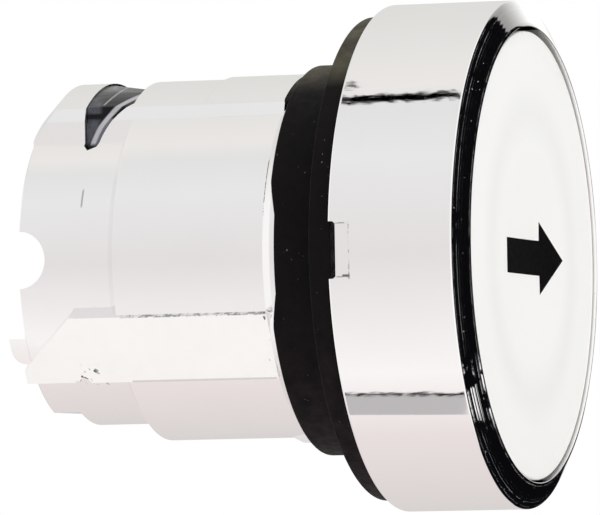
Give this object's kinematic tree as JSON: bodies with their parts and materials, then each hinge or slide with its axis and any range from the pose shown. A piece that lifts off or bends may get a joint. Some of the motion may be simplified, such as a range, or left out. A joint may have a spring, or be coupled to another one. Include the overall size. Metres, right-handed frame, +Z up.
{
  "type": "push-button operating head",
  "caption": "Panel-mounted push-button head: round metal bezel, dished white cap with an arrow, rubber panel gasket and stepped barrel; the cap springs back after a press.",
  "frame": {"origin": "on the button's axis, in the plane where the panel's front face presses on the gasket", "axes": "+Y along the axis towards the back of the panel, so the button faces -Y; +X right as seen from the front, the way the arrow points; +Z up"},
  "size_m": [0.029, 0.0291, 0.029],
  "materials": {
    "chrome": "bright chrome plate on die-cast zinc",
    "rubber": "black nitrile rubber, matt",
    "black_plastic": "black acetal, lightly glossy",
    "white_plastic": "white polycarbonate, satin",
    "arrow_black": "black two-shot inlay, satin",
    "spring_steel": "plain spring steel"
  },
  "bodies": {
    "housing": {"bezel": "chrome", "barrel": "chrome", "panel_gasket": "rubber", "bezel_o_ring": "rubber", "guide_key": "black_plastic", "guide_sleeve": "black_plastic", "lip_seal": "rubber", "seal_retainer": "black_plastic", "rear_guide_plate": "black_plastic", "plate_snap_ring": "spring_steel", "spring_seat_washer": "spring_steel", "return_spring": "spring_steel"},
    "button": {"button_cap": "white_plastic", "arrow_inlay": "arrow_black", "cap_snap_ring": "spring_steel", "plunger": "black_plastic", "damper_ring": "rubber", "stem_clip": "spring_steel", "pusher_crown": "black_plastic", "crown_screw": "spring_steel"}
  },
  "joints": [
    {"name": "button_press", "type": "slide", "parent": "housing", "child": "button", "axis": [0, 1, 0], "range_m": [0, 0.0043], "stiffness_N_per_m": 420, "springref_m": -0.006, "deforming": ["return_spring"]}
  ]
}
